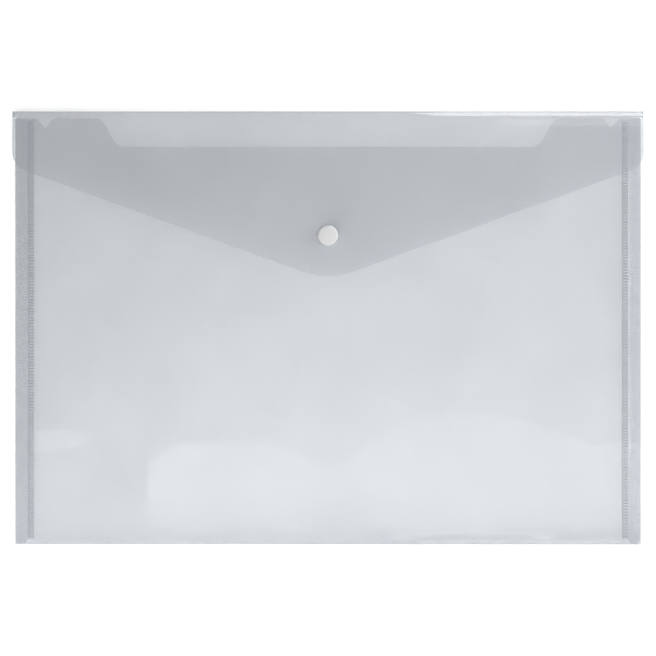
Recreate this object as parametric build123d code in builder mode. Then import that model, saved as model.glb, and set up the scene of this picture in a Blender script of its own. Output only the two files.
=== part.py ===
from build123d import *

import os
from math import asin, atan2, cos, degrees, hypot, radians, tan

# A document wallet made of one die-cut sheet of translucent film, folded, welded along
# both sides and closed by a flap with a plastic snap button. It lies on its back with the
# flap shut: X runs across the wallet, Y up the front towards the flap's fold and Z out of
# the front. The origin lies under the middle of the back panel. All sizes are millimetres.

# Sheet and pocket
film = 0.18  # thickness of the film
wallet_width = 335.0  # from side fold to side fold
wallet_height = 232.0  # from the bottom fold to the top fold
pocket_gap = 5.2  # clear depth between the back and the front panel

# Mouth of the front panel
shoulder_drop = 3.8  # from the top fold down to the shoulders of the front panel
recess_drop = 19.1  # from the top fold down to the thumb recess
recess_top_inset = 46.3  # from the side fold to the recess, at the shoulder
recess_foot_inset = 54.4  # from the side fold to the recess, at its foot
recess_top_radius = 6.5
recess_foot_radius = 8.7
notch_inset = 16.3  # from the side fold to the middle of the V notch
notch_half_width = 4.8
notch_depth = 5.3
notch_lip_radius = 3.2
notch_root_radius = 0.8
mouth_corner_radius = 1.0

# Side tabs, folded in from the back panel, with flanges welded under the front panel
side_fold_radius = 0.5  # outside of the fold
tab_width = 10.4  # from the side fold to the flange's free edge
tab_bend_radius = 1.0
tab_top_slant = 1.2  # how much lower the tab's upper end is along the flange's free edge
tab_end_gap = 0.35  # between the tab's end and the bottom fold
weld_width = 3.5
weld_height = 0.10  # between the flange and the front panel
weld_base = 0.04  # the part of that height which runs on between the ribs
weld_pitch = 1.6
weld_rib = 0.8
weld_end_inset = 0.8  # from the flange's corner to the end of the weld

# Closure flap
flap_overhang = 1.3  # how far the flap stands out past each side fold
flap_side = 29.4  # from the top fold to the corner where the edge turns
flap_slope = 20.0  # degrees, of the two lower edges
flap_corner_radius = 10.5
flap_tip_radius = 43.0
flap_lift = 0.3  # between the flap and the front panel, beside the top fold
flap_fold_land = 4.0  # level film beside the top fold
flap_snap_land = 12.0  # level film above the snap's middle

# Snap button: a cap and a socket on the flap, a stud and an inner cap on the front panel
snap_tip_inset = 21.6  # from the flap's tip to the snap's middle
snap_clearance = 0.3  # between the stud and the socket, round the axis
snap_air = 0.25  # the same along the axis
post_radius = 1.2
post_clearance = 0.05  # round a post, in its hole in the film
post_flare_radius = 1.75
post_flare = 0.35  # height of a post's flattened head
cap_radius = 5.5
cap_height = 1.3
cap_rim = 1.0  # radius of the cap's rounded rim
cap_dish = 0.2  # how far the cap's middle is sunk
inner_cap_radius = 5.5
inner_cap_height = 0.8
inner_cap_rim = 0.4
socket_flange_radius = 5.2
socket_flange = 0.6
socket_web = 0.55  # wall between the socket's hollow and the flap
socket_wall = 0.9
socket_lip = 0.2  # how far the mouth's lip stands inside the hollow
socket_lip_height = 0.5
stud_flange_radius = 5.2
stud_flange = 0.6
stud_rise = 2.05  # from the front panel to the stud's top
stud_bulb_radius = 2.4
stud_neck = 0.2  # how far the neck is drawn in under the bulb
stud_bulb_height = 0.9
snap_edge = 0.15  # broken edge of the two flanges

# Levels of the films and the places of the folds
side_x = wallet_width / 2
top_y = wallet_height / 2
front_under = film + pocket_gap
front_top = front_under + film
bottom_fold_radius = front_top / 2
bottom_y = bottom_fold_radius - top_y
top_fold_radius = (front_top + flap_lift + film) / 2
hinge_y = top_y - top_fold_radius
hinge_z = top_fold_radius
fold_middle = film / 2

shoulder_y = top_y - shoulder_drop
recess_y = top_y - recess_drop

flap_half = side_x + flap_overhang
flap_corner_y = top_y - flap_side
flap_apex_y = flap_corner_y - flap_half * tan(radians(flap_slope))
flap_tip_y = flap_apex_y + flap_tip_radius * (1 / cos(radians(flap_slope)) - 1)
snap_y = flap_tip_y + snap_tip_inset

snap_gap = stud_rise + snap_air + post_flare + socket_web
flap_under = front_top + snap_gap
flap_top = flap_under + film
part_height = flap_top + cap_height
socket_drop = snap_gap - stud_flange - snap_air

snap_plane = Plane(origin=(0, snap_y, 0), x_dir=(1, 0, 0), z_dir=(0, -1, 0))
snap_axis = Axis((0, snap_y, 0), (0, 0, 1))
film_hole_radius = post_radius + post_clearance

os.makedirs("parts", exist_ok=True)


# Back panel: the flat sheet between the two long folds and the two side folds
back_side_x = side_x - side_fold_radius
with BuildPart() as back_panel:
    with BuildSketch():
        with BuildLine():
            Polyline(
                (-back_side_x, bottom_y),
                (back_side_x, bottom_y),
                (back_side_x, hinge_y),
                (-back_side_x, hinge_y),
                close=True,
            )
        make_face()
    extrude(amount=film)
back_panel.part.label = "back_panel"
export_step(back_panel.part, "parts/back_panel.step")


# Bottom fold: two quarter rounds that carry the sheet from the back panel to the front
for fold_name, fold_start in (("bottom_fold_back", 180), ("bottom_fold_front", 90)):
    with BuildPart() as fold_quarter:
        with BuildSketch(Plane.YZ):
            with BuildLine():
                CenterArc((bottom_y, bottom_fold_radius), bottom_fold_radius - fold_middle, fold_start, 90)
            trace(line_width=film)
        extrude(amount=side_x, both=True)
    fold_quarter.part.label = fold_name
    export_step(fold_quarter.part, f"parts/{fold_name}.step")


# Front panel: the sheet with the thumb recess and two V notches in its mouth
recess_top_x = side_x - recess_top_inset
recess_foot_x = side_x - recess_foot_inset
notch_x = side_x - notch_inset
with BuildPart() as front_panel:
    with BuildSketch(Plane.XY.offset(front_under)):
        with BuildLine():
            FilletPolyline(
                (0, recess_y),
                (recess_foot_x, recess_y),
                (recess_top_x, shoulder_y),
                (notch_x - notch_half_width, shoulder_y),
                (notch_x, shoulder_y - notch_depth),
                (notch_x + notch_half_width, shoulder_y),
                (side_x, shoulder_y),
                (side_x, bottom_y),
                radius=[
                    recess_foot_radius,
                    recess_top_radius,
                    notch_lip_radius,
                    notch_root_radius,
                    notch_lip_radius,
                    mouth_corner_radius,
                ],
            )
            Line((side_x, bottom_y), (0, bottom_y))
            mirror(about=Plane.YZ)
        make_face()
        with Locations((0, snap_y)):
            Circle(film_hole_radius, mode=Mode.SUBTRACT)
    extrude(amount=film)
front_panel.part.label = "front_panel"
export_step(front_panel.part, "parts/front_panel.step")


# Side tabs and weld flanges: each tab turns over at the side fold and climbs inwards to a
# bend, and its flange lies flat from there under the front panel, along the weld. The slope
# is the tangent from the fold to the bend. The tab's lower end is round, to follow the
# inside of the bottom fold.
tab_end_y = bottom_y + tab_end_gap
tab_nose_radius = bottom_fold_radius - film - tab_end_gap
tab_fold_x = -back_side_x
tab_free_x = tab_width - side_x
tab_bend_x = tab_free_x - weld_width
tab_land_z = front_under - weld_height - fold_middle
tab_fold_middle = side_fold_radius - fold_middle
tab_run = tab_bend_x - tab_fold_x
tab_climb = tab_land_z - side_fold_radius
tab_slope = degrees(atan2(tab_climb, tab_run) - asin(tab_fold_middle / hypot(tab_run, tab_climb)))
with BuildPart() as left_strip:
    with BuildSketch(Plane.XZ.offset(-shoulder_y)):
        with BuildLine():
            turn = CenterArc((tab_fold_x, side_fold_radius), tab_fold_middle, -90, tab_slope - 180)
            FilletPolyline(
                turn @ 1,
                (tab_bend_x, tab_land_z),
                (tab_free_x, tab_land_z),
                radius=[tab_bend_radius],
            )
        trace(line_width=film)
    extrude(amount=shoulder_y - bottom_y + bottom_fold_radius)
    with BuildSketch(Plane.YZ):
        with BuildLine():
            Polyline(
                (tab_end_y, 0),
                (shoulder_y, 0),
                (shoulder_y, front_under),
                (tab_end_y, front_under),
                close=True,
            )
        make_face()
        with Locations((bottom_y, bottom_fold_radius)):
            Circle(tab_nose_radius)
    extrude(amount=side_x, both=True, mode=Mode.INTERSECT)
    with BuildSketch():
        with BuildLine():
            Polyline(
                (-side_x, shoulder_y),
                (tab_free_x, shoulder_y),
                (tab_free_x, shoulder_y - tab_top_slant),
                close=True,
            )
        make_face()
    extrude(amount=front_under, mode=Mode.SUBTRACT)

for strip_name, strip_side in (("side_tab", Keep.BOTTOM), ("weld_flange", Keep.TOP)):
    with BuildPart() as left_piece:
        add(left_strip.part)
        split(bisect_by=Plane.YZ.offset(tab_bend_x), keep=strip_side)
    left_piece.part.label = f"left_{strip_name}"
    export_step(left_piece.part, f"parts/left_{strip_name}.step")

    with BuildPart() as right_piece:
        mirror(left_piece.part, about=Plane.YZ)
    right_piece.part.label = f"right_{strip_name}"
    export_step(right_piece.part, f"parts/right_{strip_name}.step")


# Weld seams: the ribbed line of melted film that joins each flange to the front panel
weld_x = tab_free_x - weld_width / 2
weld_low_y = tab_end_y + weld_end_inset
weld_length = shoulder_y - tab_top_slant - weld_end_inset - weld_low_y
weld_middle_y = weld_low_y + weld_length / 2
weld_count = int((weld_length - weld_rib) / weld_pitch) + 1
weld_z = front_under - weld_height
with BuildPart() as left_weld_seam:
    with BuildSketch(Plane.XY.offset(weld_z)):
        with Locations((weld_x, weld_middle_y)):
            Rectangle(weld_width, weld_length)
    extrude(amount=weld_base)
    with BuildSketch(Plane.XY.offset(weld_z + weld_base)):
        with Locations((weld_x, weld_middle_y)):
            with GridLocations(weld_width, weld_pitch, 1, weld_count):
                Rectangle(weld_width, weld_rib)
    extrude(amount=weld_height - weld_base)
left_weld_seam.part.label = "left_weld_seam"
export_step(left_weld_seam.part, "parts/left_weld_seam.step")

with BuildPart() as right_weld_seam:
    mirror(left_weld_seam.part, about=Plane.YZ)
right_weld_seam.part.label = "right_weld_seam"
export_step(right_weld_seam.part, "parts/right_weld_seam.step")


# Living hinge: the half round at the top about which the flap swings
with BuildPart() as flap_living_hinge:
    with BuildSketch(Plane.YZ):
        with BuildLine():
            CenterArc((hinge_y, hinge_z), top_fold_radius - fold_middle, -90, 180)
        trace(line_width=film)
    extrude(amount=flap_half, both=True)
flap_living_hinge.part.label = "flap_living_hinge"
export_step(flap_living_hinge.part, "parts/flap_living_hinge.step")


# Closure flap: it leaves the hinge level, rises in a shallow S and is level at the snap
rise_start = (hinge_y - flap_fold_land, 2 * top_fold_radius - fold_middle)
rise_end = (snap_y + flap_snap_land, flap_under + fold_middle)
rise_middle = ((rise_start[0] + rise_end[0]) / 2, (rise_start[1] + rise_end[1]) / 2)
with BuildPart() as closure_flap:
    with BuildSketch(Plane.YZ):
        with BuildLine():
            Line((hinge_y, rise_start[1]), rise_start)
            lower_arc = TangentArc(rise_start, rise_middle, tangent=(-1, 0))
            TangentArc(rise_middle, rise_end, tangent=lower_arc % 1)
            Line(rise_end, (flap_apex_y, rise_end[1]))
        trace(line_width=film)
    extrude(amount=flap_half, both=True)
    with BuildSketch():
        with BuildLine():
            FilletPolyline(
                (-flap_half, hinge_y),
                (-flap_half, flap_corner_y),
                (0, flap_apex_y),
                (flap_half, flap_corner_y),
                (flap_half, hinge_y),
                radius=[flap_corner_radius, flap_tip_radius, flap_corner_radius],
            )
            Line((flap_half, hinge_y), (-flap_half, hinge_y))
        make_face()
        with Locations((0, snap_y)):
            Circle(film_hole_radius, mode=Mode.SUBTRACT)
    extrude(amount=part_height, mode=Mode.INTERSECT)
closure_flap.part.label = "closure_flap"
export_step(closure_flap.part, "parts/closure_flap.step")


# Snap cap: the round button outside the flap, with the post that is flattened in the socket
cap_seat = flap_top
cap_face = cap_seat + cap_height
flare_top = flap_under - socket_web
with BuildPart() as snap_cap:
    with BuildSketch(snap_plane):
        with BuildLine():
            rim_start = (cap_radius - cap_rim, cap_face)
            rim_end = (cap_radius, cap_face - cap_rim)
            TangentArc((0, cap_face - cap_dish), rim_start, tangent=(1, 0))
            RadiusArc(rim_start, rim_end, cap_rim)
            Polyline(
                rim_end,
                (cap_radius, cap_seat),
                (post_radius, cap_seat),
                (post_radius, flare_top),
                (post_flare_radius, flare_top),
                (post_flare_radius, flare_top - post_flare),
                (0, flare_top - post_flare),
                (0, cap_face - cap_dish),
            )
        make_face()
    revolve(axis=snap_axis)
snap_cap.part.label = "snap_cap"
export_step(snap_cap.part, "parts/snap_cap.step")


# Snap socket: the cup under the flap, with a lip round its mouth
mouth_radius = stud_bulb_radius + snap_clearance
hollow_radius = mouth_radius + socket_lip
cup_radius = hollow_radius + socket_wall
cup_end = flap_under - socket_drop
with BuildPart() as snap_socket:
    with BuildSketch(snap_plane):
        with BuildLine():
            Polyline(
                (post_radius, flap_under),
                (socket_flange_radius, flap_under),
                (socket_flange_radius, flap_under - socket_flange + snap_edge),
                (socket_flange_radius - snap_edge, flap_under - socket_flange),
                (cup_radius, flap_under - socket_flange),
                (cup_radius, cup_end),
                (mouth_radius, cup_end),
                (mouth_radius, cup_end + socket_lip_height),
                (hollow_radius, cup_end + socket_lip_height + socket_lip),
                (hollow_radius, flare_top),
                (post_radius, flare_top),
                close=True,
            )
        make_face()
    revolve(axis=snap_axis)
snap_socket.part.label = "snap_socket"
export_step(snap_socket.part, "parts/snap_socket.step")


# Snap stud: the bulb on the front panel that the socket closes over
stud_seat = front_top + stud_flange
stud_top = front_top + stud_rise
neck_radius = stud_bulb_radius - stud_neck
bulb_low = stud_top - stud_bulb_height
with BuildPart() as snap_stud:
    with BuildSketch(snap_plane):
        with BuildLine():
            Polyline(
                (post_radius, front_top),
                (stud_flange_radius, front_top),
                (stud_flange_radius, stud_seat - snap_edge),
                (stud_flange_radius - snap_edge, stud_seat),
                (neck_radius, stud_seat),
                (neck_radius, bulb_low),
                (stud_bulb_radius, bulb_low + stud_neck),
                (stud_bulb_radius, stud_top - stud_neck),
                (stud_bulb_radius - stud_neck, stud_top),
                (post_flare_radius, stud_top),
                (post_flare_radius, stud_top - post_flare),
                (post_radius, stud_top - post_flare),
                close=True,
            )
        make_face()
    revolve(axis=snap_axis)
snap_stud.part.label = "snap_stud"
export_step(snap_stud.part, "parts/snap_stud.step")


# Inner cap: the low button inside the pocket, whose post is flattened in the stud
inner_face = front_under - inner_cap_height
with BuildPart() as snap_inner_cap:
    with BuildSketch(snap_plane):
        with BuildLine():
            inner_rim_start = (inner_cap_radius, inner_face + inner_cap_rim)
            inner_rim_end = (inner_cap_radius - inner_cap_rim, inner_face)
            RadiusArc(inner_rim_start, inner_rim_end, inner_cap_rim)
            Polyline(
                inner_rim_end,
                (0, inner_face),
                (0, stud_top),
                (post_flare_radius, stud_top),
                (post_flare_radius, stud_top - post_flare),
                (post_radius, stud_top - post_flare),
                (post_radius, front_under),
                (inner_cap_radius, front_under),
                inner_rim_start,
            )
        make_face()
    revolve(axis=snap_axis)
snap_inner_cap.part.label = "snap_inner_cap"
export_step(snap_inner_cap.part, "parts/snap_inner_cap.step")
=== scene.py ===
"""Dresses the document wallet: its folded film, its ribbed welds and its snap, and the studio around it."""

from bisect import bisect_right
from math import asin, atan2, ceil, cos, exp, hypot, pi, radians, sin, sqrt, tan

import bmesh
import bpy
from bpy.props import FloatProperty, FloatVectorProperty, IntProperty, PointerProperty
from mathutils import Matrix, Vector


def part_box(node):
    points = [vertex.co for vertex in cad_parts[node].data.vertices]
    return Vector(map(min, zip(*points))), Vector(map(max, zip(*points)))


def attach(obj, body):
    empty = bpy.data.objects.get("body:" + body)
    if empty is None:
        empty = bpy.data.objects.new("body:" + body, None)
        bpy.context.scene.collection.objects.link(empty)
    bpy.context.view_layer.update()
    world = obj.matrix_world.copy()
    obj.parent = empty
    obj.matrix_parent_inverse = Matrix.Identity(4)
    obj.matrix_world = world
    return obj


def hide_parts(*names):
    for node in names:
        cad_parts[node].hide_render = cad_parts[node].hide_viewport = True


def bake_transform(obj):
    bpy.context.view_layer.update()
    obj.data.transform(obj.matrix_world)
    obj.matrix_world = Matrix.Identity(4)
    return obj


bl_info = {
    "name": "Document wallet",
    "version": (1, 0, 0),
    "blender": (4, 5, 0),
    "location": "3D View > Sidebar > Wallet",
    "description": "Builds the film, the welds and the snap of a document wallet, and a studio for it",
    "category": "Object",
}

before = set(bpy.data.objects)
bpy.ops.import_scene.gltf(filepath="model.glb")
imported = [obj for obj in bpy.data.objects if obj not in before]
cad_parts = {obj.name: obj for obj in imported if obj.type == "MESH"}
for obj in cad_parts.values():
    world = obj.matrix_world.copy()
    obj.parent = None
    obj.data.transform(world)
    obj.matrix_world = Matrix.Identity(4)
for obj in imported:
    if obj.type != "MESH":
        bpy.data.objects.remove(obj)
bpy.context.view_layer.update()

# Places that the solids give, in metres
BACK_LOW, BACK_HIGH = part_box("back_panel")
FRONT_LOW, FRONT_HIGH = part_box("front_panel")
FLAP_LOW, FLAP_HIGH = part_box("closure_flap")
HINGE_LOW, HINGE_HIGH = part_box("flap_living_hinge")
FLANGE_LOW, FLANGE_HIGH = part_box("left_weld_flange")
WELD_LOW, WELD_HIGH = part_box("left_weld_seam")
CAP_LOW, CAP_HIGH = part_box("snap_cap")
SOCKET_LOW, SOCKET_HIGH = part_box("snap_socket")
STUD_LOW, STUD_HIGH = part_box("snap_stud")
INNER_LOW, INNER_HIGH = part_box("snap_inner_cap")

FILM = BACK_HIGH.z - BACK_LOW.z
HALF_FILM = FILM / 2
BACK_Z = BACK_LOW.z + HALF_FILM
FRONT_Z = FRONT_LOW.z + HALF_FILM
BACK_X = BACK_HIGH.x
SIDE_X = FRONT_HIGH.x
FLAP_X = FLAP_HIGH.x
BOTTOM_Y = BACK_LOW.y
HINGE_Y = BACK_HIGH.y
SHOULDER_Y = FRONT_HIGH.y
TIP_Y = FLAP_LOW.y
SNAP_Y = (CAP_LOW.y + CAP_HIGH.y) / 2
BOTTOM_RADIUS = (FRONT_HIGH.z - BACK_LOW.z) / 2
BOTTOM_EDGE = BOTTOM_Y - BOTTOM_RADIUS
HINGE_RADIUS = (HINGE_HIGH.z - HINGE_LOW.z) / 2
FLAP_Z = FLAP_HIGH.z - HALF_FILM

# Level on the front panel up to which its mesh has straight rows
STRAIGHT_Y = 0.080

# Fineness of the meshes
ARC_STEP = radians(9)
SMOOTH_ANGLE = radians(32)
BEVEL_ANGLE = radians(40)
BEVEL_STEPS = 3
BOTTOM_FOLD_STEPS = 18
TOP_FOLD_STEPS = 28
SIDE_FOLD_STEPS = 12
TAB_STEPS = 10
MOUTH_STEPS = 10
FLAP_FINENESS = 1.6
DOME_STEPS = 10
CAP_RIM_STEPS = 8
INNER_RIM_STEPS = 6
PUNCH_SEGMENTS = 48
TINY = 1e-9

# Scales of the grain and of the clouds in each finish, and the part of a noise that is used
FILM_SCALES = (900, 22)
WELD_SCALES = (1500, 300)
SNAP_SCALES = (2600, 240)
GRAIN_DETAIL, CLOUD_DETAIL = 3.0, 2.0
NOISE_SPAN = (0.3, 0.7)

# Ripples of the slack panels: place and width of each hump across the wallet, and its slope
RIPPLES = (
    (0.002, 0.017, -0.0119),
    (0.076, 0.042, 0.0133),
    (0.165, 0.025, -0.0063),
    (-0.097, 0.010, -0.0077),
)
RIPPLE_Y = -0.061
RIPPLE_REACH = 0.042
RIPPLE_FADE, RIPPLE_END = SIDE_X - 0.030, SIDE_X - 0.014

# Height and widths of the low swell on the back panel
BACK_SWELL = 0.00024
BACK_SWELL_X, BACK_SWELL_Y = 0.13, 0.05

# Places of the cards over and behind the wallet, which its gloss shows
STRIP_LEFT, STRIP_RIGHT = -0.133, 0.252
STRIP_LOW, STRIP_FULL, STRIP_HIGH = -0.156, -0.126, -0.0854
HALO = (-0.30, STRIP_HIGH, 0.36, 0.08)
HALO_MIDDLE, HALO_STRETCH, HALO_REACH = (0.07, STRIP_HIGH, 0), (0.7, 1.6, 0), 0.19
PATCH = ((-0.222, -0.0938), (-0.186, -0.0890), (-0.176, -0.0805), (-0.198, -0.0749), (-0.222, -0.0770))
FAINT = (0.129, 0.150, 0.450, 0.1615)
EDGE_LEFT_HIGH, EDGE_LEFT_LOW, EDGE_RIGHT = 0.084, 0.055, 0.60
EDGE_NEAR, EDGE_FULL, EDGE_FAR, EDGE_FOOT = 0.46, 0.52, 0.85, 0.05
RIM = ((0.42, -0.08, 0.10), (0.42, 0.45, 0.10), (0.30, 0.45, 0.75), (0.30, -0.02, 0.75))
BEHIND = ((0.058, 0.125), (EDGE_RIGHT, 0.125), (EDGE_RIGHT, EDGE_FAR), (EDGE_LEFT_LOW, EDGE_FAR))
CARD_LAP = 0.002


def length(name, description, default):
    """A size in metres that a user may change."""
    return FloatProperty(
        name=name, description=description, default=default, unit="LENGTH", subtype="DISTANCE", precision=5
    )


def share(name, description, default):
    """A plain number from 0 to 1."""
    return FloatProperty(name=name, description=description, default=default, min=0, max=1, subtype="FACTOR")


def colour(name, description, default):
    """A linear colour without alpha."""
    return FloatVectorProperty(
        name=name, description=description, default=default, size=3, min=0, max=1, subtype="COLOR"
    )


def angle(name, description, default):
    """An angle in radians."""
    return FloatProperty(
        name=name, description=description, default=default, unit="ROTATION", subtype="ANGLE"
    )


def number(name, description, default):
    """A plain number, such as a lamp's radiance."""
    return FloatProperty(name=name, description=description, default=default, min=0)


def place(name, description, default):
    """A point in metres."""
    return FloatVectorProperty(
        name=name, description=description, default=default, size=3, unit="LENGTH", subtype="TRANSLATION"
    )


class FilmLook(bpy.types.PropertyGroup):
    """The finish of the translucent film and of the welds."""

    tint: colour("Tint", "Colour that the film's haze scatters back", (0.390, 0.419, 0.452))
    cloud_tint: colour("Cloud tint", "Colour where the haze is a little thicker", (0.372, 0.400, 0.432))
    haze: share("Haze", "How much one face of the film hides", 0.21)
    haze_spread: share("Haze spread", "How much the haze varies from place to place", 0.006)
    slant: number("Slant", "How many times thicker the haze is when seen along the film", 2.0)
    # Painted shade: the next two thicken the haze towards the bottom fold's edge, which darkens the film
    # there
    crease_shade: number("Crease", "How many times thicker the haze is at the bottom fold's edge", 1.25)
    crease_shade_reach: length("Crease reach", "How far up from that edge the haze is thicker", 0.021)
    # Painted shade: this thickens the haze on the flap's overhang at the sides, which darkens it like the
    # shadow under it
    overhang: number("Overhang", "How many times thicker the haze is on the flap's overhang", 1.75)
    shadow: share("Shadow", "Share of the haze that keeps light from what lies under it", 0.25)
    roughness: share("Roughness", "Roughness of the film's polished side", 0.02)
    grain_roughness: share("Grain roughness", "Roughness on the peaks of the grain", 0.032)
    weld_tint: colour("Weld tint", "Colour of the melted band", (0.22, 0.23, 0.245))
    weld_haze: share("Weld haze", "How much one face of the melted band hides", 0.20)
    weld_spread: share("Weld spread", "How much the melted film varies from place to place", 0.15)
    weld_roughness: share("Weld roughness", "Roughness of the melted film", 0.35)
    weld_grain_roughness: share("Weld grain roughness", "Roughness on the peaks of its grain", 0.5)
    rib_tint: colour("Rib tint", "Colour of the ribs", (0.11, 0.115, 0.125))
    rib_haze: share("Rib haze", "How much one face of a rib hides", 0.24)


class PocketSizes(bpy.types.PropertyGroup):
    """Sizes of the front panel's mouth and of the side tabs."""

    recess_drop: length("Recess drop", "From the top fold down to the thumb recess", 0.0191)
    recess_top_inset: length("Recess top inset", "From the side fold to the recess, at the shoulder", 0.0463)
    recess_foot_inset: length("Recess foot inset", "From the side fold to the recess, at its foot", 0.0544)
    recess_top_radius: length("Recess top radius", "Rounding where the recess meets the shoulder", 0.0065)
    recess_foot_radius: length("Recess foot radius", "Rounding at the foot of the recess", 0.0087)
    notch_inset: length("Notch inset", "From the side fold to the middle of the V notch", 0.0163)
    notch_half_width: length("Notch half width", "Half the width of the V notch", 0.0048)
    notch_depth: length("Notch depth", "From the shoulder to the sharp root of the notch", 0.0053)
    notch_lip_radius: length("Notch lip radius", "Rounding at the lips of the notch", 0.0032)
    notch_root_radius: length("Notch root radius", "Rounding at the root of the notch", 0.0008)
    corner_radius: length("Corner radius", "Rounding at the outer corners of the mouth", 0.001)
    side_fold_radius: length("Side fold radius", "Outside of the side folds", 0.0005)
    tab_bend_radius: length("Tab bend radius", "Bend from a tab to its flange", 0.001)
    tab_end_gap: length("Tab end gap", "Between a tab's lower end and the bottom fold", 0.00035)
    tab_top_slant: length("Tab top slant", "How much lower a tab's upper end is at its free edge", 0.0012)
    mesh_step: length("Mesh step", "Spacing of the film's mesh", 0.0045)
    ripple: share("Ripple", "Share of the slack film's ripples that is kept", 1.0)


class FlapSizes(bpy.types.PropertyGroup):
    """Sizes of the closure flap."""

    slope: angle("Slope", "Slope of the two lower edges", radians(20))
    corner_radius: length("Corner radius", "Rounding of the two corners", 0.0105)
    tip_radius: length("Tip radius", "Rounding of the tip", 0.043)
    fold_land: length("Fold land", "Level film beside the top fold", 0.004)
    snap_land: length("Snap land", "Level film above the snap's middle", 0.012)
    mesh_step: length("Mesh step", "Spacing of the flap's mesh", 0.0045)


class WeldSizes(bpy.types.PropertyGroup):
    """Sizes of the ribbed welds."""

    pitch: length("Pitch", "From rib to rib", 0.0016)
    rib: length("Rib", "Width of a rib at its foot", 0.0007)
    rib_length: length("Rib length", "Length of a rib across the weld", 0.0020)
    rib_margin: length("Rib margin", "From the ribs to the weld's inner edge", 0.00025)
    crown: share("Crown", "Width of a rib's top as a share of its foot", 0.7)
    stand: length("Stand", "How far the ribs stand out of the front panel", 0.00003)
    lap: length("Lap", "How far the ribs reach into the melted band", 0.0001)
    gap: length("Gap", "Between the weld and the film on both sides of it", 0.000004)


class SnapSizes(bpy.types.PropertyGroup):
    """Sizes and colour of the snap's four mouldings."""

    plastic: colour("Plastic", "Colour of the moulded plastic", (0.575, 0.575, 0.581))
    shade: colour("Shade", "Colour of its faint clouds", (0.556, 0.558, 0.564))
    roughness: share("Roughness", "Roughness of the moulded plastic", 0.22)
    grain_roughness: share("Grain roughness", "Roughness on the peaks of its grain", 0.30)
    grain_relief: share("Grain relief", "Strength of the grain's relief", 0.15)
    grain_depth: length("Grain depth", "Depth of the grain's relief", 0.00003)
    cap_rim: length("Cap rim", "Radius of the cap's rounded rim", 0.001)
    cap_dome: length("Cap dome", "Radius of the cap's low dome", 0.040)
    inner_rim: length("Inner rim", "Radius of the inner cap's rounded rim", 0.0004)
    post_radius: length("Post radius", "Radius of the two posts", 0.0012)
    post_clearance: length("Post clearance", "Room round a post in the film", 0.00005)
    flare_radius: length("Flare radius", "Radius of a post's flattened head", 0.00175)
    flare: length("Flare", "Height of a post's flattened head", 0.00035)
    flange: length("Flange", "Thickness of the socket's and the stud's flanges", 0.0006)
    web: length("Web", "Wall between the socket's hollow and the flap", 0.00055)
    wall: length("Wall", "Wall of the socket's cup", 0.0009)
    lip: length("Lip", "How far the socket's lip stands inside its hollow", 0.0002)
    lip_height: length("Lip height", "Height of the socket's lip", 0.0005)
    clearance: length("Clearance", "Between the stud and the socket", 0.0003)
    bulb_radius: length("Bulb radius", "Radius of the stud's bulb", 0.0024)
    bulb_height: length("Bulb height", "Height of the stud's bulb", 0.0009)
    neck: length("Neck", "How far the stud is drawn in under its bulb", 0.0002)
    edge: length("Edge", "Rounding of the mouldings' edges", 0.00012)
    segments: IntProperty(name="Segments", description="Sides of a moulding", default=96, min=24)


class StudioSettings(bpy.types.PropertyGroup):
    """The camera, the lamps and the floor."""

    distance: length("Distance", "From the desk to the camera", 3.0)
    view_width: length("View width", "Width that the picture shows at the front panel", 0.3508)
    film_passes: IntProperty(
        name="Film passes", description="How many faces of film a ray may pass", default=48, min=8
    )
    floor_drop: length("Floor drop", "How far the floor lies under the film", 0.0001)
    floor_size: length("Floor size", "Half the side of the floor", 4.0)
    floor_albedo: share("Floor albedo", "How much light the floor gives back", 0.9)
    floor_roughness: share("Floor roughness", "Roughness of the floor", 0.9)
    floor_glow: share("Floor glow", "White that the floor shows to the eye besides its light", 0.27)
    floor_near: length("Floor near", "From the middle to where the floor starts to fade to white", 0.25)
    floor_far: length("Floor far", "From the middle to where the floor is white", 0.60)
    world: number("World", "Light from all round", 0.345)
    lamp_size: length("Lamp size", "Width of the two round lamps", 0.60)
    lamp_aim: place("Lamp aim", "Where the two lamps point", (0.05, -0.05, 0))
    front_place: place("Front place", "Where the lamp below the wallet stands", (-0.14, -0.30, 0.36))
    front_power: number("Front power", "Power of the lamp below the wallet in watts", 2.46)
    side_place: place("Side place", "Where the lamp at the right stands", (0.46, 0.08, 0.38))
    side_power: number("Side power", "Power of the lamp at the right in watts", 2.48)
    card_height: length("Card height", "From the desk to the cards over the wallet", 1.2)
    strip_radiance: number("Strip radiance", "Brightness of the strip that the body's gloss shows", 2.15)
    halo_radiance: number("Halo radiance", "Brightness of the soft glow above the strip", 1.62)
    patch_radiance: number("Patch radiance", "Brightness of the small card beside the strip", 1.6)
    edge_radiance: number("Edge radiance", "Brightness of the card that the top fold shows", 8.5)
    behind_radiance: number("Behind radiance", "Brightness of the card behind the wallet", 6.5)
    rim_radiance: number("Rim radiance", "Brightness of the card that the button's rim shows", 8.0)
    faint_radiance: number("Faint radiance", "Brightness of the card that the flap shows below its fold", 1.3)


class WalletSettings(bpy.types.PropertyGroup):
    """All that a user may change on the wallet."""

    film: PointerProperty(type=FilmLook)
    pocket: PointerProperty(type=PocketSizes)
    flap: PointerProperty(type=FlapSizes)
    weld: PointerProperty(type=WeldSizes)
    snap: PointerProperty(type=SnapSizes)
    studio: PointerProperty(type=StudioSettings)


def arc(centre, radius, start, turn, steps=None):
    """Points on an arc from the angle start through turn, both ends included."""
    steps = steps or max(2, ceil(abs(turn) / ARC_STEP))
    angles = [start + turn * i / steps for i in range(steps + 1)]
    return [Vector((centre[0] + radius * cos(a), centre[1] + radius * sin(a))) for a in angles]


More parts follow.
